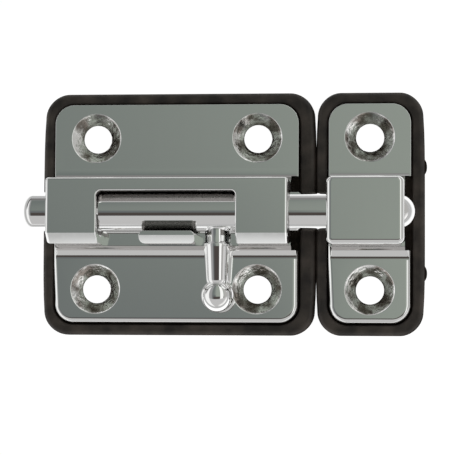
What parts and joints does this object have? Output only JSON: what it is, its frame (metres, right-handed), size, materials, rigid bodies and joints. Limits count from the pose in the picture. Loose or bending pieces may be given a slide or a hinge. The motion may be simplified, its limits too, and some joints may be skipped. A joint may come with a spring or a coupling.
{
  "type": "toggle bolt latch",
  "caption": "Surface-mounted barrel bolt with a ball-ended turning lever, gated lever notches and a matching keeper, both on rubber gaskets.",
  "frame": {"origin": "on the mounting surface, at the back of the latch gasket under the middle of the latch half", "axes": "+X along the bolt towards the keeper, +Y across the bolt away from the lever, +Z out of the mounting surface"},
  "size_m": [0.0757, 0.0458, 0.0143],
  "materials": {
    "body_chrome": "polished and chrome-plated casting",
    "bolt_chrome": "polished chrome plate on turned parts",
    "gasket_rubber": "matte moulded black rubber",
    "ring_rubber": "smooth black rubber"
  },
  "bodies": {
    "latch": {"latch_body": "body_chrome", "latch_gasket": "gasket_rubber"},
    "rings": {"friction_ring_rear": "ring_rubber", "friction_ring_front": "ring_rubber"},
    "bolt": {"bolt_rod": "bolt_chrome", "lever_stem": "bolt_chrome", "ball_knob": "bolt_chrome"},
    "keeper": {"keeper_body": "body_chrome", "keeper_gasket": "gasket_rubber"}
  },
  "joints": [
    {"name": "lever_turn", "type": "hinge", "parent": "latch", "child": "rings", "pos_m": [0, 0, 0.0092], "axis": [-1, 0, 0], "range_deg": [0, 100]},
    {"name": "bolt_slide", "type": "slide", "parent": "rings", "child": "bolt", "axis": [1, 0, 0], "range_m": [-0.001, 0.0012]},
    {"name": "keeper_away", "type": "slide", "parent": "latch", "child": "keeper", "axis": [1, 0, 0], "range_m": [0, 0.02]}
  ]
}
